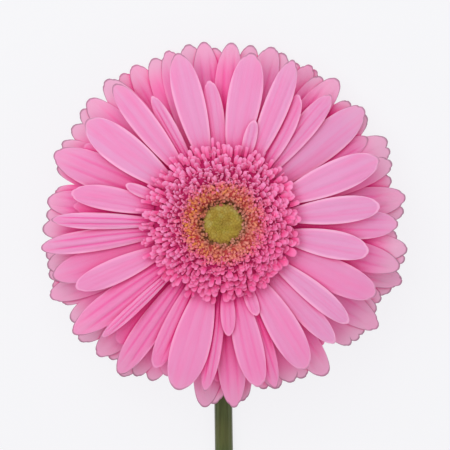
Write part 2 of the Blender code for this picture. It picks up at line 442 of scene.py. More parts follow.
# %% [markdown]
# ## No two petals alike
# The petals of one flower differ a little in everything: how deep their grooves are, how their margins
# wave, how blunt and how rosy they are. Shaping each by hand would take days. A few numbers drawn at
# random between narrow limits do the same, and a fixed seed draws the same ones in every run.

# %% Draw the habit of a petal
HABIT_LIMITS = {
    "groove": (0.06, 0.2), "wave": (0.10, 0.34), "wave_start": (0.0, 1.0), "tip_lift": (-0.9, 0.35),
    "twist": (-0.05, 0.05), "tone": (0.0, 1.0), "teeth": (0.002, 0.012), "tip_skew": (-0.5, 0.5),
    "bluntness": (1.85, 2.2)}


def random_habit(chance, crease=0.0, reddened=0.0):
    """The small ways in which one petal differs from the next."""
    habit = {name: chance.uniform(*limits) for name, limits in HABIT_LIMITS.items()}
    return {**habit, "crease": crease, "reddened": reddened}


print("a habit is", len(random_habit(random.Random(1))), "numbers")

# %% [markdown]
# ## The shape of a ray floret
# A ray floret is a strap with a narrow foot, widest past its middle, and a blunt tip with three faint
# teeth. Cross rows that shrink to a point at the tip would pinch the veins together, so each lengthwise
# line of the grid runs straight until it meets the outline. Onto that plan go the channel at the foot,
# the crown towards the tip, two long grooves, a slow wave of the margins, and a crease in some.

# %% Shape one ray floret
WIDEST_AT = 0.64
TIP_AT = 0.992
CLAW = 0.22  # width of the foot over the greatest width
REAR_CLAW = 0.3  # how much more than that the rear petals have
CHANNEL = 0.055  # rise of the margins at the foot over the half-width
TIP_FALL = 0.09  # fall of the margins at the tip over the half-width
GROOVE_WIDTH = 0.12
TOOTH_WIDTH = 0.09
PLEATS = 4.0  # fine pleats from one margin to the other
PLEAT_DEPTH = 0.02
PETAL_THICKNESS = 0.42
MARGIN_THICKNESS = 0.14
PETAL_GRID = (34, 31)  # rows along a petal, lines across it
REAR_GRID = (26, 19)
TABLE_CLEARANCE = 0.3  # between a petal at rest and the table, mm
TABLE_GIVE = 0.35  # how softly a petal comes to rest on the table, mm
BLUSHED_SIDE = math.radians(255)  # the petals on this side are the rosiest


def smooth(value):
    """An even ramp from 0 to 1 that starts and ends gently."""
    value = np.clip(value, 0.0, 1.0)
    return value * value * (3.0 - 2.0 * value)


def part_way(start, end, share):
    return start + (end - start) * share


def curve_at(midrib, along):
    """Point and direction of a midrib."""
    along = along[..., None]
    place = midrib[0] * along ** 2 + midrib[1] * along + midrib[2]
    return place, 2 * midrib[0] * along + midrib[1]


def tip_bearing(ray):
    tip = ray["midrib"].sum(axis=0)
    return math.atan2(tip[1], tip[0])


def shape_ray(ray, habit, whorl, grid=PETAL_GRID):
    """One ray floret as a closed part in head mm."""
    rows, lines = grid
    across = np.sort(np.append(np.linspace(-1.0, 1.0, lines), (-0.985, 0.985)))[None, :]
    side = np.abs(across)
    tip = np.sqrt(1.0 - side ** (habit["bluntness"] + 0.3 * whorl))
    tip = tip * (1.0 + 0.2 * habit["tip_skew"] * across)
    ends = part_way(WIDEST_AT, TIP_AT, tip)
    ends = ends - habit["teeth"] * np.exp(-((side - GROOVE_AT) / TOOTH_WIDTH) ** 2)
    ends = np.minimum(ends, TIP_AT)
    steps = 1.0 - (1.0 - np.linspace(0.0, 1.0, rows + 1)) ** 1.4
    along = steps[:, None] * ends
    swell = np.sin(np.pi / 2 * np.clip(along / WIDEST_AT, 0.0, 1.0))
    claw = CLAW + REAR_CLAW * whorl
    half = ray["half"] * part_way(claw, 1.0, swell)

    points, direction = curve_at(ray["midrib"], along)
    flat = unit(direction[..., :2])
    length = np.linalg.norm(curve_at(ray["midrib"], np.array(1.0))[0] - ray["midrib"][2])
    points[..., 0] -= flat[..., 1] * across * half
    points[..., 1] += flat[..., 0] * across * half

    lift = (CHANNEL * (1.0 - along) - TIP_FALL * along) * half * across ** 2
    lift += (ray["roll"] + habit["twist"] * along) * half * across
    body = smooth(along / 0.25) * smooth((ends - along) / 0.22)
    groove = habit["groove"] * (1.0 + whorl + 1.5 * habit["crease"])
    lift -= groove * np.exp(-((side - GROOVE_AT) / GROOVE_WIDTH) ** 2) * body
    lift += PLEAT_DEPTH * np.cos(2 * np.pi * PLEATS * across / 2 + 6 * habit["tone"]) * body
    lift += habit["wave"] * side ** 2 * along * np.sin(
        2 * np.pi * (1.4 * along + habit["wave_start"]) + 0.8 * np.sign(across))
    lift += habit["tip_lift"] * smooth((along - 0.70) / 0.30) ** 2
    lift += habit["crease"] * (0.55 - side ** 1.2) * body
    points[..., 2] += lift

    rim = np.minimum((1.0 - side) * half, (ends - along) * length)
    thickness = part_way(MARGIN_THICKNESS, PETAL_THICKNESS, smooth(rim / 1.4))
    points = keep_off_table(points, thickness)
    blushed = max(0.0, math.cos(tip_bearing(ray) - BLUSHED_SIDE)) ** 2
    tone = max(0.0, 0.35 * habit["tone"] + 0.65 * blushed + habit["reddened"])
    skins = np.zeros_like(points)
    skins[..., 2] = thickness / 2
    reach = np.hypot(points[..., 0], points[..., 1])
    measures = on_both(along.shape, along=along, across=across, rim=rim, reach=reach)
    measures.update(tone=tone, whorl=whorl, folds=habit["crease"])
    return two_skins(points, skins), skin_grid(rows, lines + 1), measures


def keep_off_table(points, thickness):
    """A petal that would sink into the table lies on it instead."""
    height = to_world(points.reshape(-1, 3))[:, 2].reshape(thickness.shape) / MM
    least = TABLE_CLEARANCE + thickness / 2
    rested = least + TABLE_GIVE * np.logaddexp(0.0, (height - least) / TABLE_GIVE)
    lifted = np.where(height > least + 6 * TABLE_GIVE, height, rested) - height
    points = points.copy()
    points[..., 2] += lifted / head_up.z
    return points


print("a ray floret is a grid of", PETAL_GRID)

# %% [markdown]
# ## All the ray florets
# Each solid of the frame gets its petal. A few are folded along their midrib, as happens when a bud
# opens in tight company. The back whorls are a deeper pink than the front.

# %% Make the ray florets of the frame
CREASED = {  # front petals that are folded lengthwise, and how much
    4: 0.4, 5: 0.4, 10: 0.4, 13: 0.45, 15: 0.9, 16: 0.8, 19: 0.9, 20: 0.7, 21: 0.85, 22: 0.4, 24: 0.9,
    25: 0.5, 26: 0.3, 27: 0.8, 33: 0.3}
REDDENED = {  # how much rosier, or paler, than its neighbours a front petal is
    1: -0.4, 3: -0.4, 13: 0.3, 14: 0.2, 23: -0.15, 29: -0.5, 31: 0.15, 32: -0.3}
BACK_CREASE = 0.35
WHORLS = {"short": 0.0, "front": 0.0, "back": 0.75}
petal_chance = random.Random(7)

for node in ray_nodes:
    group, _, number = node.split("_")
    front_number = int(number) if group == "front" else None
    crease = CREASED.get(front_number, BACK_CREASE if group == "back" else 0.0)
    habit = random_habit(petal_chance, crease, REDDENED.get(front_number, 0.0))
    part = shape_ray(rays[node], habit, WHORLS[group])
    make_piece(node.replace("ray", "petal"), [part], petal_finish, [node])
print(len(ray_nodes), "petals made")

# %% [markdown]
# ## The hindmost petals
# Behind the whorls of the frame lies one more, of which only the tips show. They are turned and lowered
# siblings of the measured back rays, joined into one piece, since nobody would handle them one by one.

# %% Fill in the hindmost whorl
HINDMOST = (  # bearing, reach, width: degrees and mm
    (4.2, 58.3, 9.2), (14.5, 55.9, 8.8), (19.8, 57.4, 9.2), (23.6, 58.4, 8.6), (27.3, 59.0, 9.6),
    (36.5, 57.4, 9.6), (43.2, 56.0, 8.4), (55.8, 56.4, 8.0), (58.8, 57.7, 8.8), (65, 56.8, 8.8),
    (70, 57.7, 9.0), (81, 57.6, 8.6), (92.6, 56.0, 8.6), (101, 58.2, 9.4), (112.6, 57.3, 9.6),
    (124, 58.0, 9.2), (129, 59.0, 10.0), (141.5, 57.8, 8.8), (147, 57.0, 9.4), (153, 57.3, 7.8),
    (161, 55.4, 8.0), (170, 54.0, 9.2), (177, 56.0, 9.0), (181.5, 57.2, 9.4), (190.2, 57.5, 9.0),
    (193.4, 57.7, 9.2), (197.2, 58.1, 9.6), (200.6, 58.2, 8.6), (205.6, 57.2, 8.0), (213, 57.6, 9.4),
    (219.6, 59.3, 9.0), (230.5, 56.4, 8.4), (236.5, 58.8, 9.0), (239.8, 56.2, 8.6), (245, 55.3, 8.8),
    (249.5, 51.8, 8.6), (267.4, 57.9, 9.8), (276.3, 57.2, 9.0), (284, 54.6, 8.6), (288, 55.4, 8.8),
    (293.5, 55.2, 9.6), (297.5, 55.6, 9.4), (309, 50.0, 8.6), (316.8, 56.4, 8.0), (319.4, 57.2, 8.6),
    (322.5, 57.2, 8.4), (329.8, 56.6, 8.4), (334, 56.6, 8.6), (338, 58.4, 9.6), (342.5, 60.6, 8.2),
    (348.5, 59.2, 9.2), (351.4, 59.4, 9.4), (355, 55.6, 8.4))
HINDMOST_DROP = 1.1


def bearing_of(ray):
    return math.degrees(tip_bearing(ray)) % 360.0


def turn_from(start, end):
    """The shorter way round from one bearing to another."""
    return (end - start + 180.0) % 360.0 - 180.0


def turned_sibling(ray, bearing, reach, width, drop):
    """A ray of the frame, turned to a new bearing, lowered, and trimmed to a new reach and width."""
    angle = math.radians(turn_from(bearing_of(ray), bearing))
    turn_x, turn_y = math.cos(angle), math.sin(angle)
    spin = np.array(((turn_x, turn_y, 0), (-turn_y, turn_x, 0), (0, 0, 1)))
    midrib = ray["midrib"] @ spin
    tip_reach = np.linalg.norm(midrib.sum(axis=0)[:2])
    foot_reach = np.linalg.norm(midrib[2, :2])
    stretch = (reach - foot_reach) / (tip_reach - foot_reach)
    midrib[0] *= stretch ** 2
    midrib[1] *= stretch
    midrib[2, 2] -= drop
    return {"midrib": midrib, "half": width / 2, "roll": 0.0}


def hindmost_ray(bearing, reach, width):
    back = [ray for name, ray in rays.items() if name.startswith("back")]
    nearest = min(back, key=lambda ray: abs(turn_from(bearing_of(ray), bearing)))
    return turned_sibling(nearest, bearing, reach, width, HINDMOST_DROP)


hind_chance = random.Random(23)
hind_parts = [
    shape_ray(hindmost_ray(*place), random_habit(hind_chance), 1.0, REAR_GRID) for place in HINDMOST]
make_piece("hindmost_petals", hind_parts, hindmost_finish, [])
print(len(hind_parts), "hindmost petals")

# %% [markdown]
# ## Petals tucked in between
# Where two front petals part, the foot of a deeper one shows between them. Each is a lowered sibling of
# the lower one of its two neighbours, so that it stays under both, and they too are one piece.

# %% Tuck petals under the gaps
TUCKED = (  # sibling, bearing, reach, width: degrees and mm
    ("front_ray_13", 150.5, 50.0, 8.5), ("front_ray_16", 173.5, 47.0, 6.5),
    ("front_ray_21", 229.0, 50.0, 8.5), ("front_ray_25", 268.5, 50.0, 7.0),
    ("front_ray_33", 354.0, 44.0, 7.0))
TUCKED_DROP = 1.3
tuck_chance = random.Random(31)
tucked_parts = [
    shape_ray(turned_sibling(rays[name], *place, TUCKED_DROP), random_habit(tuck_chance), 0.5, REAR_GRID)
    for name, *place in TUCKED]
make_piece("tucked_petals", tucked_parts, petal_finish, [])
print(len(tucked_parts), "tucked petals")

# %% [markdown]
# ## Straps for the small florets
# Trans florets, disc florets and bracts are all small straps on a bent midline. A curve drawn by three
# points, foot, knee and tip, bends like a real one: the tube rises from the foot, and the blade leans away
# from the knee. These stand steeply, so their thickness is laid square to their own bend.

# %% Shape one small strap
def bent_line(foot, knee, tip, share):
    """Place and direction at a share of the way along a curve that bends at its knee."""
    place = foot * (1 - share) ** 2 + knee * 2 * share * (1 - share) + tip * share ** 2
    return place, (knee - foot) * (1 - share) + (tip - knee) * share


def shape_strap(foot, knee, tip, half, cup, thickness, grid, claw, widest=None, pointed=False, twist=0.0):
    """A closed strap. cup lifts its margins; its tip is round, or pointed like a scale's."""
    rows, columns = grid
    foot, knee, tip = (np.asarray(corner, float) for corner in (foot, knee, tip))
    length = np.linalg.norm(knee - foot) + np.linalg.norm(tip - knee)
    widest = widest or max(0.4, 1.0 - 1.25 * half / length)
    across = np.sin(np.pi / 2 * np.linspace(-1.0, 1.0, columns + 1))[None, :]
    round_off = 1.0 - np.abs(across) ** 1.2 if pointed else np.sqrt(1.0 - across ** 2)
    ends = part_way(widest, 1.0, round_off)
    along = (1.0 - (1.0 - np.linspace(0.0, 1.0, rows + 1)) ** 1.6)[:, None] * ends
    width = half * part_way(claw, 1.0, smooth(along / widest))

    place, direction = bent_line(foot, knee, tip, along[..., None])
    direction = unit(direction)
    outward = unit((tip - foot) * (1.0, 1.0, 0.0))
    side = np.array((-outward[1], outward[0], 0.0)) * math.cos(twist)
    side = side + np.array((0.0, 0.0, math.sin(twist)))
    face = unit(np.cross(direction, side))
    side = np.cross(face, direction)
    points = place + side * (across * width)[..., None] + face * (cup * half * across ** 2 * along)[..., None]
    skins = face * (thickness * (0.35 + 0.65 * (1.0 - across ** 2)) / 2)[..., None]
    measures = on_both(along.shape, along=along, across=across)
    return two_skins(points, skins), skin_grid(rows, columns), measures


sample_strap = shape_strap((0, 0, 0), (1, 0, 4), (4, 0, 5), 1.0, 0.3, 0.2, (6, 4), 0.5)
print("one strap has", len(sample_strap[1]), "faces")

# %% [markdown]
# ## The fringe of trans florets
# Between the petals and the disc stands a thick fringe of short florets. Each is a narrow tube that opens
# into a little blade, blunt and cupped, with one or two small curled lobes behind it. From above only the
# blades show, packed like scales over the dark between the tubes. Modelling one and copying it would
# look stamped, so each is shaped from numbers of its own.

# %% Shape a trans floret
FRINGE_COUNT = 700
FRINGE_FOOT = (11.0, 16.0)  # distance of the feet from the axis, mm
FRINGE_TIP = (12.2, 24.5)
FRINGE_SWAY = (-1.0, 0.6)  # how far its edge is moved to the right and to the back, mm
FRINGE_CROWN = (  # how high the tips stand at each distance, mm
    (12.0, 8.0), (14.0, 9.1), (16.8, 9.8), (19.6, 9.1), (22.5, 7.8), (25.2, 6.0), (27.0, 4.8))
FRINGE_FLOOR = 2.5
BROAD_SIDE = math.radians(-35)  # the blades are broader on this side of the head


def at(bearing, radius, height):
    """A point in head mm from its bearing in radians, its distance from the axis, and its height."""
    return np.array((radius * math.cos(bearing), radius * math.sin(bearing), height))


def height_on(profile, radius):
    """Height of a profile of (radius, height) points, read at one radius."""
    return float(np.interp(radius, *zip(*profile)))


def as_share(value):
    return min(1.0, max(0.0, value))


def shape_trans_floret(chance, bearing, out):
    """A trans floret's blade and the lobes behind it. out is 0 beside the disc, 1 beside the petals."""
    foot_radius = part_way(*FRINGE_FOOT, out)
    tip_radius = part_way(*FRINGE_TIP, out ** 1.12)
    tip_radius += chance.uniform(-0.8, 0.8 + 1.2 * out ** 4)
    tip_radius += (FRINGE_SWAY[0] * math.cos(bearing) + FRINGE_SWAY[1] * math.sin(bearing)) * out ** 2
    tip_height = height_on(FRINGE_CROWN, tip_radius) - chance.uniform(0.0, 1.7)
    drift = chance.gauss(0.0, 0.9) / tip_radius
    blade_run = (1.5 + 1.3 * out) * chance.uniform(0.2, 1.4)
    blade_rise = (2.1 - 0.9 * out) * chance.uniform(0.3, 1.1)
    knee = at(bearing + drift * 0.3, tip_radius - blade_run, tip_height - blade_rise)
    broad = (0.5 + 0.5 * math.cos(bearing - BROAD_SIDE)) ** 2
    half = (0.46 + (0.18 + 0.58 * broad) * out) * chance.uniform(0.75, 1.25)
    # painted light and shade: besides a random part, tone is raised on one side of the head and lowered on
    # the other and on the broad side, painting those blades lighter or darker as if lit or shaded
    tone = as_share(0.5 * chance.random() + 0.18 + 0.34 * math.sin(bearing - 0.3) - 0.13 * broad)
    warm = max(0.0, 1.0 - 2.4 * out) * chance.uniform(0.4, 1.0)
    parts = [shape_strap(
        at(bearing, foot_radius, FRINGE_FLOOR), knee, at(bearing + drift, tip_radius, tip_height), half,
        chance.uniform(-0.3, 0.9), 0.22, (6, 4), 0.5, twist=chance.gauss(0.0, 0.5))]
    for _ in range(chance.choice((1, 2))):
        lobe_bearing = bearing + drift * 0.5 + chance.uniform(-1.0, 1.0) / tip_radius
        lobe_radius = tip_radius - blade_run * chance.uniform(0.7, 1.6)
        lobe_height = tip_height - chance.uniform(-0.3, 0.9)
        curl = chance.uniform(-1.3, 1.3) / tip_radius
        parts.append(shape_strap(
            at(bearing, foot_radius + 0.2, FRINGE_FLOOR + 1.0),
            at(lobe_bearing, lobe_radius, lobe_height - 0.8),
            at(lobe_bearing + curl, lobe_radius - chance.uniform(-0.9, 1.2), lobe_height),
            half * chance.uniform(0.5, 0.75), 0.3, 0.2, (4, 3), 0.6))
    for _, _, measures in parts:
        measures.update(tone=tone, warm=warm)
    return parts


print("fringe of", FRINGE_COUNT, "florets planned")

# %% [markdown]
# ## The finish of the fringe
# The end of a trans floret's blade is painted pale as a highlight, and its tube deep red, partly its own
# colour and partly painted shade down among the tubes; beside the disc it turns to salmon. One finish can
# do for all of them, because each floret carries its own tone and warmth, and its tone also paints the
# blades lighter or darker by side, as if lit or shaded.

# %% Mix the fringe finish
# the tubes' own deep red, and painted shade down among them
TUBE_ROSE_AND_SHADE = (0.46, 0.012, 0.12)
BLADE_ROSE = (1.0, 0.18, 0.46)
# a painted highlight on the ends of the blades
BLADE_PAINTED_HIGHLIGHT = (1.0, 0.41, 0.70)
BLADE_DEEP = (0.92, 0.09, 0.33)
BLADE_SALMON = (0.96, 0.19, 0.24)


def mix_fringe(tree):
    along, across, tone, warm = measures_of(tree, "along across tone warm")
    apart = tone * 60.0
    patches = mottle(place_in(along * 2.0, across, apart), 1.5)
    colour = layered(
        # tone mixes deep and rose blades; besides random tone it carries painted light and shade by side
        tint(tone, BLADE_DEEP, BLADE_ROSE),
        (between(patches, 0.35, 0.7) * 0.5, BLADE_DEEP),
        # painted highlight on the blade ends, stronger where tone is higher
        (between(along, 0.60, 0.95) * (tone * 0.5 + 0.36), BLADE_PAINTED_HIGHLIGHT),
        (warm * 0.85, BLADE_SALMON),
        # tube colour: partly its own deep red, partly painted shade down between the florets
        (between(along, 0.60, 0.25), TUBE_ROSE_AND_SHADE))
    veins = mottle(place_in(along, across * 5.0, apart), 2.0)
    return {"Base Color": colour, "Normal": emboss(veins, 0.12, 0.5)}


fringe_finish = living_finish("fringe_pink", mix_fringe, 0.65, 0.2)

# %% [markdown]
# ## The spiral and the bed
# Florets grow in a spiral, each turned by the golden angle from the last, which also spreads them evenly
# over a ring. Under them lies the crowd of their tubes, too dense to see into, and a low dimpled bed
# stands for it. The Screw modifier could turn its outline, but rings of points take the dimples as well.

# %% Plant the fringe on its bed
def turns_round(steps):
    """Bearings evenly spaced round a full turn."""
    return np.arange(steps) * 2 * math.pi / steps


def turned_bed(profile, steps, dimple, **measures):
    """A closed ring, its upper side dimpled. The outline of (radius, height) runs from inside to outside."""
    turns = turns_round(steps)
    radius, height = np.array(profile).T[:, :, None]
    ripple = np.sin(turns * 31 + radius * 5) * np.sin(turns * 17 - radius * 7)
    height = height + np.where(height > FRINGE_FLOOR, dimple * ripple, 0.0)
    points = np.stack((radius * np.cos(turns), radius * np.sin(turns), height), axis=-1)
    corner = np.arange(len(profile) * steps).reshape(len(profile), steps)
    below, ahead = np.roll(corner, -1, axis=0), np.roll(corner, -1, axis=1)
    faces = np.stack((corner, below, np.roll(below, -1, axis=1), ahead), axis=-1).reshape(-1, 4)
    return points.reshape(-1, 3), faces, {"along": 0.0, "across": 0.0, **measures}


GOLDEN_ANGLE = math.radians(137.508)


def golden_spiral(count, inner_share):
    """Bearing of each floret, and how far out it is in a ring that leaves inner_share of the circle free."""
    start = math.sqrt(inner_share)
    for number in range(count):
        reached = math.sqrt(inner_share + (1.0 - inner_share) * (number + 0.5) / count)
        yield number * GOLDEN_ANGLE, (reached - start) / (1.0 - start)


FRINGE_BED = (
    (11.2, 2.4), (11.4, 5.0), (13.0, 6.5), (15.5, 7.1), (18.0, 6.4), (20.5, 5.0), (21.6, 3.8), (16.3, 2.4))
fringe_chance = random.Random(5)
fringe_parts = [turned_bed(FRINGE_BED, 240, 0.2, tone=0.5, warm=0.0)]
for bearing, out in golden_spiral(FRINGE_COUNT, (FRINGE_TIP[0] / FRINGE_TIP[1]) ** 2):
    bearing += fringe_chance.gauss(0.0, 0.03)
    fringe_parts.extend(shape_trans_floret(fringe_chance, bearing, out))
make_piece("trans_floret_fringe", fringe_parts, fringe_finish, ["trans_florets"])
print(FRINGE_COUNT, "trans florets of", len(fringe_parts), "parts")

# %% [markdown]
# ## The open disc florets
# Inside the fringe is a ring of open disc florets. Their tiny blades are salmon to brown, and from each
# stands a short column of anthers, orange with pollen where it has just opened. Both are made here: a
# little column with a swollen, notched head, and three small curled blades around it.

# %% Shape a disc floret
DISC_FOOT = (6.5, 12.2)
DISC_CROWN = ((5.4, 6.5), (6.8, 6.9), (8.0, 7.5), (9.2, 8.1), (11.4, 8.2), (12.8, 7.8), (13.8, 7.6))
COLUMN_SIDES = 8
ORANGE_SIDE = math.radians(165)  # the florets on this side shed their pollen first
PAINTED_LIGHT_SIDE = math.radians(-50)  # the innermost florets are painted lighter on this side, as if lit, and darker opposite, as if shaded
DISC_LEAST_RADIUS = 5.3  # no floret leans further in over the buds, mm
COLUMN_PROFILE = (  # share of the way, radius in mm
    (0.0, 0.26), (0.45, 0.28), (0.68, 0.34), (0.85, 0.37), (0.95, 0.30), (0.99, 0.18), (1.0, 0.06))


def close_rings(rings):
    """Walls between rings of points, and a face over each end."""
    count, sides = len(rings), len(rings[0])
    corner = np.arange(count * sides).reshape(count, sides)
    ahead = np.roll(corner, -1, axis=1)
    walls = np.stack((corner[:-1], ahead[:-1], ahead[1:], corner[1:]), axis=-1).reshape(-1, 4)
    return np.concatenate(rings), walls.tolist() + [corner[0, ::-1].tolist(), corner[-1].tolist()]


def circle(turns, first, second):
    """Points of a unit circle that two directions span."""
    return np.outer(np.cos(turns), first) + np.outer(np.sin(turns), second)


def shape_column(foot, knee, tip, size, lobes):
    """A closed bent column with a swollen, notched head."""
    turns = turns_round(COLUMN_SIDES)
    rings = []
    for share, radius in COLUMN_PROFILE:
        place, axis = bent_line(foot, knee, tip, share)
        side = unit(np.cross(axis, (0.3, -0.5, 0.1)))
        ring = circle(turns, side, np.cross(unit(axis), side))
        wave = 1.0 + 0.16 * share * np.cos(lobes * turns)
        rings.append(place + ring * (radius * size * wave)[:, None])
    along = np.repeat([share for share, _ in COLUMN_PROFILE], COLUMN_SIDES)
    return *close_rings(rings), {"along": along, "across": 0.0}


def shape_disc_floret(chance, bearing, out):
    """The parts of one open disc floret: its anther column and its small blades."""
    radius = part_way(*DISC_FOOT, out) + chance.uniform(-0.3, 0.3)
    inner = as_share(1.25 - 4.2 * out)
    lean = (1.0 - inner) * chance.uniform(-0.3, 1.1) - inner * chance.uniform(0.2, 0.9)
    slide = chance.gauss(0.0, 0.6) / radius
    top = height_on(DISC_CROWN, radius + lean) - chance.uniform(0.0, 1.2)
    # painted light and shade: besides a random part, the innermost florets are painted lighter on the lit
    # side of the head and darker opposite
    tone = as_share(0.6 * chance.random() + 0.2 + 0.3 * inner * math.cos(bearing - PAINTED_LIGHT_SIDE))
    orange = 0.42 + 0.5 * math.cos(bearing - ORANGE_SIDE) + chance.uniform(-0.45, 0.45)
    ripe = as_share(orange) * (1.0 - 0.7 * max(0.0, out - 0.6) / 0.4)
    common = {"tone": tone, "inner": inner * chance.uniform(0.5, 1.0), "outer": max(0.0, out - 0.55) * 2.0}
    tilt = chance.uniform(0.3, 1.5) * (1.0 - 0.6 * inner)
    parts = [shape_column(
        at(bearing, radius, FRINGE_FLOOR), at(bearing, radius + lean * 0.3, top - 0.2),
        at(bearing + slide, radius + lean + tilt, top + 0.1),
        chance.uniform(0.8, 1.25), chance.choice((2, 4)))]
    parts[0][2].update(common, ripe=ripe)
    for _ in range(3):
        turn = chance.uniform(0.0, 2 * math.pi)
        spread = chance.uniform(0.6, 1.5)
        tip_bearing = bearing + slide + math.sin(turn) * spread / radius
        tip_radius = max(radius + lean + math.cos(turn) * spread, DISC_LEAST_RADIUS)
        blade = shape_strap(
            at(bearing, radius, FRINGE_FLOOR + 1.5),
            at((bearing + tip_bearing) / 2, (radius + tip_radius) / 2, top - 0.7),
            at(tip_bearing, tip_radius, top - chance.uniform(-0.2, 0.8)),
            chance.uniform(0.28, 0.46), 0.4, 0.2, (5, 4), 0.6)
        blade[2].update(common, ripe=0.5 * chance.random() * ripe)
        parts.append(blade)
    return parts


print("a disc floret has", len(shape_disc_floret(random.Random(1), 0.0, 0.5)), "parts")

# %% [markdown]
# ## The finish of the disc florets
# Pollen makes some florets orange, those beside the fringe are as pink as it is, and those beside the eye
# have brown feet and tan tips. The feet of all of them are dark, partly their own colour and partly
# painted shade down among the florets, and the innermost are painted lighter on one side of the head and
# darker on the other, as if lit and shaded. One finish mixes all of these by what each floret's measures say.

# %% Mix the disc finish
DISC_BLADE = ((0.70, 0.15, 0.13), (0.88, 0.34, 0.28))  # the deepest and the palest, here and below
POLLEN = ((0.66, 0.17, 0.04), (0.86, 0.36, 0.09))
INNER_TIP = ((0.36, 0.14, 0.09), (0.60, 0.31, 0.21))
# the inner florets' brown feet, partly their own colour and partly painted shade
INNER_BASE_AND_SHADE = ((0.10, 0.04, 0.015), (0.27, 0.13, 0.055))
OUTER_BLADE = (1.0, 0.24, 0.44)
DISC_BASE_AND_SHADE = (0.46, 0.05, 0.055)


def mix_disc(tree):
    along, tone, ripe, inner, outer = measures_of(tree, "along tone ripe inner outer")
    colour = layered(
        tint(tone, *DISC_BLADE),
        (outer, OUTER_BLADE),
        (ripe, tint(tone, *POLLEN)),
        (inner * 0.9, tint(tone, *INNER_TIP)),
        # dark feet: partly their own colour, partly painted shade down between the florets
        (between(along, 0.72, 0.3), tint(inner, DISC_BASE_AND_SHADE, tint(tone, *INNER_BASE_AND_SHADE))))
    dust = mottle(own_place(tree), 2600.0, 3.0)
    return {"Base Color": colour, "Normal": emboss(dust, 0.1, 0.6)}


disc_finish = living_finish("disc_orange", mix_disc, 0.55, 0.15)

# %% [markdown]
# ## The ring of disc florets
# The ring is filled in the same golden spiral, on a bed of its own. The disc of a grown flower sits a
# little off the axis, and moving its finished points is the plainest way to say so.

# %% Make the disc florets
DISC_COUNT = 300
DISC_BED = ((5.6, 2.4), (5.8, 4.6), (7.0, 5.2), (8.4, 6.3), (10.0, 6.9), (11.8, 6.8), (12.0, 2.4))
DISC_INNER_SHARE = 0.28  # of the area inside the ring's edge, this much is left to the buds
EYE_SHIFT = (0.12, -0.12, 0.0)  # the eye sits this far off the axis, mm
disc_chance = random.Random(17)
disc_bed = turned_bed(DISC_BED, 160, 0.2, ripe=0.0, outer=0.0)
bed_x, bed_y, _ = disc_bed[0].T
# painted light and shade: the bed is painted lighter on the lit side and darker opposite
disc_bed[2]["tone"] = 0.45 + 0.45 * np.cos(np.arctan2(bed_y, bed_x) - PAINTED_LIGHT_SIDE)
disc_bed[2]["inner"] = smooth((8.4 - np.hypot(bed_x, bed_y)) / 1.6)
disc_parts = [disc_bed]
for bearing, out in golden_spiral(DISC_COUNT, DISC_INNER_SHARE):
    disc_parts.extend(shape_disc_floret(disc_chance, bearing, out))
make_piece("open_disc_florets", disc_parts, disc_finish, ["disc_florets"], EYE_SHIFT)
print(DISC_COUNT, "disc florets of", len(disc_parts), "parts")

# %% [markdown]
# ## The buds in the middle
# The middle florets have not opened. Each is a small blunt cone with five faint folds, olive yellow, and
# they are packed in the same golden spiral. The youngest, in the centre, are the smallest and the lowest.

# %% Make the disc buds
BUD_COUNT = 170
BUD_RING = 5.75
BUD_CROWN = ((0.0, 5.1), (2.0, 5.6), (3.8, 6.1), (5.0, 6.2), (6.0, 5.5))
BUD_SIDES = 10
BED_DEPTH = 0.28  # from the tips of the buds down to the bed they stand in, mm
BUD_PROFILE = ((0.0, 1.0), (0.8, 1.1), (0.91, 1.02), (0.955, 0.86), (0.98, 0.62), (0.995, 0.36), (1.0, 0.1))
BUD_OLIVE = ((0.345, 0.228, 0.033), (0.395, 0.278, 0.044))  # the deepest bud and the palest
LEAFY_OLIVE = (0.31, 0.265, 0.03)
PALE_OLIVE = (0.45, 0.37, 0.115)
DARK_OLIVE = (0.25, 0.155, 0.02)
RUSTY_EDGE = (0.29, 0.135, 0.045)
BROWN_HEART = (0.31, 0.185, 0.035)
# painted shade down between the buds
PAINTED_SHADE_BETWEEN_BUDS = (0.30, 0.20, 0.035)


def shape_bud(bearing, radius, size, top, lean):
    """A blunt cone with five faint folds."""
    foot, tip = at(bearing, radius, BUD_BASE_HEIGHT + 0.1), at(bearing, radius + lean, top)
    turns = turns_round(BUD_SIDES)
    ring = circle(turns, (1.0, 0.0, 0.0), (0.0, 1.0, 0.0))
    rings = []
    for share, girth in BUD_PROFILE:
        fold = 1.0 + 0.07 * share * np.cos(5 * turns)
        rings.append(part_way(foot, tip, share) + ring * (girth * size * fold)[:, None])
    along = np.repeat([share for share, _ in BUD_PROFILE], BUD_SIDES)
    return *close_rings(rings), {"along": along, "middle": 1.0 - radius / BUD_RING}


def mix_bud(tree):
    along, tone, middle = measures_of(tree, "along tone middle")
    place = own_place(tree)
    clouds = mottle(place, 330.0, 1.0)
    colour = layered(
        tint(tone, *BUD_OLIVE),
        (between(mottle(place, 190.0), 0.42, 0.62) * 0.6, LEAFY_OLIVE),
        (between(clouds, 0.5, 0.72) * 0.75, PALE_OLIVE),
        (between(clouds, 0.46, 0.28) * 0.75, DARK_OLIVE),
        (between(middle, 0.16, 0.02) * 0.55, RUSTY_EDGE),
        (between(middle, 0.55, 0.95) * 0.6, BROWN_HEART),
        # painted shade on the flanks of the buds, down between them
        (between(along, 0.9, 0.7), PAINTED_SHADE_BETWEEN_BUDS))
    return {"Base Color": colour, "Normal": emboss(mottle(place, 3000.0), 0.05, 0.5)}


bud_chance = random.Random(3)
bud_floor = BUD_BASE_HEIGHT + 0.2
bed_top = [(radius, height - BED_DEPTH) for radius, height in BUD_CROWN[1:]]
bed_outline = [(0.05, bud_floor), (0.05, 4.8), *bed_top, (5.6, bud_floor)]
bud_parts = [turned_bed(bed_outline, 48, 0.0, middle=0.3, tone=0.5)]
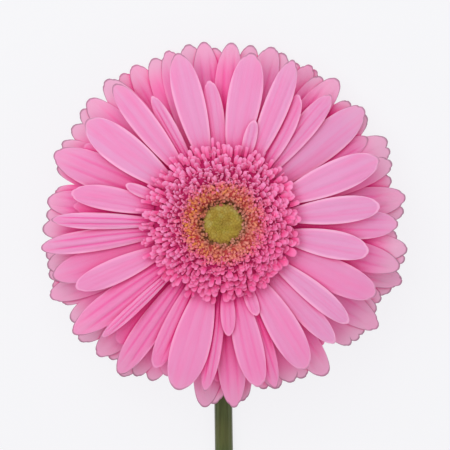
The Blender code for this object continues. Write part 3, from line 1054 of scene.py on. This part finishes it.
# the bed takes part of the painted shade between the buds
bud_parts[0][2]["along"] = 0.8
for bearing, out in golden_spiral(BUD_COUNT, 0.0):
    radius = BUD_RING * out
    size = (0.50 + 0.1 * radius / BUD_RING) * bud_chance.uniform(0.9, 1.15)
    top = height_on(BUD_CROWN, radius) - bud_chance.uniform(0.0, 0.12)
    bearing += bud_chance.gauss(0.0, 0.12) / (radius + 0.5)
    bud = shape_bud(bearing, radius, size, top, 0.25 * radius / BUD_RING)
    bud[2]["tone"] = bud_chance.random()
    bud_parts.append(bud)
bud_finish = living_finish("bud_olive", mix_bud, 0.6, 0.12)
make_piece("bud_disc", bud_parts, bud_finish, ["disc_buds"], EYE_SHIFT)
print(BUD_COUNT, "buds")

# %% [markdown]
# ## Bracts under the head
# From below, the head sits in a cup of green bracts: pointed scales in overlapping rows, like tiles.
# They lie on the swollen end of the stem, so each one's midline is read off that swelling's profile.

# %% Make the bracts
BRACT_LINE = (  # distance from the axis, head height: from the neck to the rim
    (4.3, -16.9), (6.3, -15.4), (9.7, -13.0), (13.1, -10.6), (15.6, -8.5), (16.3, -7.5))
BRACT_ROWS = (  # start and end along that line, number of scales, half-width, stand-off
    (0.00, 0.62, 15, 1.9, 0.30), (0.22, 0.86, 18, 1.9, 0.12), (0.42, 1.0, 21, 2.0, -0.08))
ROW_TURN = 5  # turns one row against the next, so that the scales break joint
BRACT_LIGHT = (0.16, 0.24, 0.06)
BRACT_DARK = (0.07, 0.12, 0.03)
BRACT_TIP = (0.20, 0.12, 0.06)


def on_bract_line(share):
    stations = np.linspace(0.0, 1.0, len(BRACT_LINE))
    return np.array([np.interp(share, stations, column) for column in zip(*BRACT_LINE)])


def mix_bract(tree):
    """Leaf green with lengthwise veins, browner and redder towards the tip."""
    along, across, tone = measures_of(tree, "along across tone")
    streaks = mottle(place_in(along, across * 8.0, tone * 30.0), 2.0, 3.0)
    colour = tint(between(streaks, 0.3, 0.7), BRACT_DARK, BRACT_LIGHT)
    colour = tint(between(along, 0.7, 1.0) * 0.6, colour, BRACT_TIP)
    return {"Base Color": colour, "Normal": emboss(streaks, 0.15, 0.6)}


bract_chance = random.Random(9)
bract_parts = []
for first, last, count, half, stand_off in BRACT_ROWS:
    for number in range(count):
        bearing = 2 * math.pi * (number + bract_chance.uniform(-0.12, 0.12)) / count + first * ROW_TURN
        shares = (first, (first + last) / 2, last - bract_chance.uniform(0.0, 0.06))
        ends = [on_bract_line(share) for share in shares]
        knee = 2 * ends[1] - (ends[0] + ends[2]) / 2
        spots = [at(bearing, spot[0] + stand_off, spot[1]) for spot in (ends[0], knee, ends[2])]
        width = half * bract_chance.uniform(0.9, 1.05)
        scale = shape_strap(*spots, width, 0.25, 0.5, (10, 8), 0.75, widest=0.3, pointed=True)
        scale[2]["tone"] = bract_chance.random()
        bract_parts.append(scale)
bract_finish = living_finish("bract_green", mix_bract, 0.6, 0.08, sheen=0.1)
make_piece("bract_cup", bract_parts, bract_finish, ["bracts"])
print(len(bract_parts), "bracts")

# %% [markdown]
# ## The stem
# The stem is leafless, as thick as a pencil and faintly ribbed. It leaves the head along the flower's
# axis, bends over, and lies on the table with a slight sway. It could be a curve with a bevel, but rings
# of points along the same route let the ribs, the swelling under the head and the cut end be one skin.
# First comes the route: a place, a direction and a radius for each ring.

# %% Lay out the route of the stem
NECK_HEIGHT = -17.5  # head height where the straight neck starts to bend, mm
NECK_RADIUS = 2.7
STEM_RADIUS = 2.9
CUT_END_RADIUS = 3.5
STEM_LENGTH = 400.0
STEM_SWAY = 5.0  # how strongly the lying stem bends to the side, mm
BEND_RINGS = 40
STRAIGHT_RINGS = 140
HEAD_CROWN = (  # head height, radius of the swollen end of the stem
    (1.75, 8.0), (1.7, 12.0), (1.35, 16.2), (-2.0, 14.2), (-6.4, 11.6), (-7.8, 10.8), (-9.5, 8.6),
    (-11.5, 6.1), (-13.5, 4.1), (-15.5, 3.0))


def stem_rings():
    """Middle, direction to the upper side, radius and distance along, from the head to the cut."""
    tilt = math.acos(head_up.z)
    origin = head_origin / MM
    for height, radius in HEAD_CROWN:
        yield origin + head_up * height, head_back, radius, 0.0
    start = origin + head_up * NECK_HEIGHT
    bend = (start.z - STEM_RADIUS) / (1.0 - math.sin(tilt))
    middle = start - head_back * bend
    bend_angle = math.pi / 2 - tilt
    for step in range(BEND_RINGS + 1):
        share = step / BEND_RINGS
        angle = tilt + bend_angle * share
        outward = Vector((0.0, math.cos(angle), -math.sin(angle)))
        radius = part_way(NECK_RADIUS, STEM_RADIUS, share)
        yield middle + outward * bend, outward, radius, bend * bend_angle * share
    straight = STEM_LENGTH - bend * bend_angle + NECK_HEIGHT
    for step in range(1, STRAIGHT_RINGS + 1):
        share = step / STRAIGHT_RINGS
        radius = part_way(STEM_RADIUS, CUT_END_RADIUS, share)
        place = Vector((STEM_SWAY * math.sin(math.pi * share) * share, middle.y - straight * share, radius))
        yield place, Vector((0, 0, -1)), radius, bend * bend_angle + straight * share


print("route of", len(list(stem_rings())), "rings")

# %% [markdown]
# ## The skin of the stem
# Each ring of the route becomes a ribbed circle of points. At the cut the rind ends in a sharp edge, and
# the pith inside is paler and sinks to a hollow. The end that the florets stand on is pink between them.

# %% Make the stem
STEM_SIDES = 72
RIBS = 12
RIB_HEIGHT = 0.07
CUT_RINGS = (  # share of the radius, depth in mm, how much of it is bare pith
    (0.985, 0.0, 0.3), (0.93, 0.05, 1.0), (0.86, 0.35, 1.0), (0.3, 0.5, 1.0), (0.22, 1.6, 1.0),
    (0.1, 3.2, 1.0))
STEM_GREEN = ((0.044, 0.058, 0.020), (0.078, 0.104, 0.033))  # its deepest and its palest streaks
STEM_FRESH = (0.115, 0.155, 0.045)
STEM_TAN = (0.14, 0.13, 0.04)
PITH = (0.55, 0.58, 0.33)
# painted shadow cast by the head onto the top of the stem
PAINTED_HEAD_SHADOW = (0.03, 0.009, 0.006)
CROWN_PINK = (0.80, 0.20, 0.38)


def build_stem():
    turns = turns_round(STEM_SIDES)
    rings, along, cut = [], [], []
    for middle, outward, radius, distance in stem_rings():
        rib = RIB_HEIGHT * np.cos(RIBS * turns) * min(1.0, distance / 15.0)
        ring = circle(turns, outward, (1.0, 0.0, 0.0))
        rings.append(np.array(middle) + ring * (radius - RIB_HEIGHT + rib)[:, None])
        along.append(distance / STEM_LENGTH)
        cut.append(0.0)
    end = rings[-1]
    centre = end.mean(axis=0)
    for share, depth, pith in CUT_RINGS:
        rings.append(part_way(centre, end, share) + (0.0, depth, 0.0))
        along.append(1.0)
        cut.append(pith)
    points, faces = close_rings(rings)
    under_florets = sum(height > 0.0 for height, _ in HEAD_CROWN)
    measures = {"along": along, "cut": cut, "crown": np.arange(len(rings)) < under_florets}
    return to_head(points * MM), faces, {label: np.repeat(row, STEM_SIDES) for label, row in measures.items()}


def mix_stem(tree):
    along, cut, crown = measures_of(tree, "along cut crown")
    place = own_place(tree)
    long_place = put(tree, "ShaderNodeVectorMath", 0, {0: place, 1: (1.0, 0.06, 1.0)}, operation="MULTIPLY")
    streaks = mottle(long_place, 900.0, 3.0)
    colour = layered(
        tint(between(streaks, 0.35, 0.65), *STEM_GREEN),
        (between(along, 0.05, 0.5), STEM_FRESH),
        (between(mottle(place, 60.0), 0.45, 0.7) * 0.3, STEM_TAN),
        (cut, PITH),
        # painted shadow: the stem just under the head is darkened where the head walls it in
        (between(open_air_within(tree, 12.0), 0.7, 0.35) * (between(along, 0.32, 0.22) * 0.85), PAINTED_HEAD_SHADOW),
        (crown, CROWN_PINK))
    return {"Base Color": colour, "Normal": emboss(streaks, 0.12, 0.5)}


stem_finish = living_finish("stem_green", mix_stem, 0.5, 0.06, sheen=0.15)
stem_piece = make_piece("green_stem", [build_stem()], stem_finish, ["stem"])
print("stem", len(stem_piece.data.polygons), "faces")
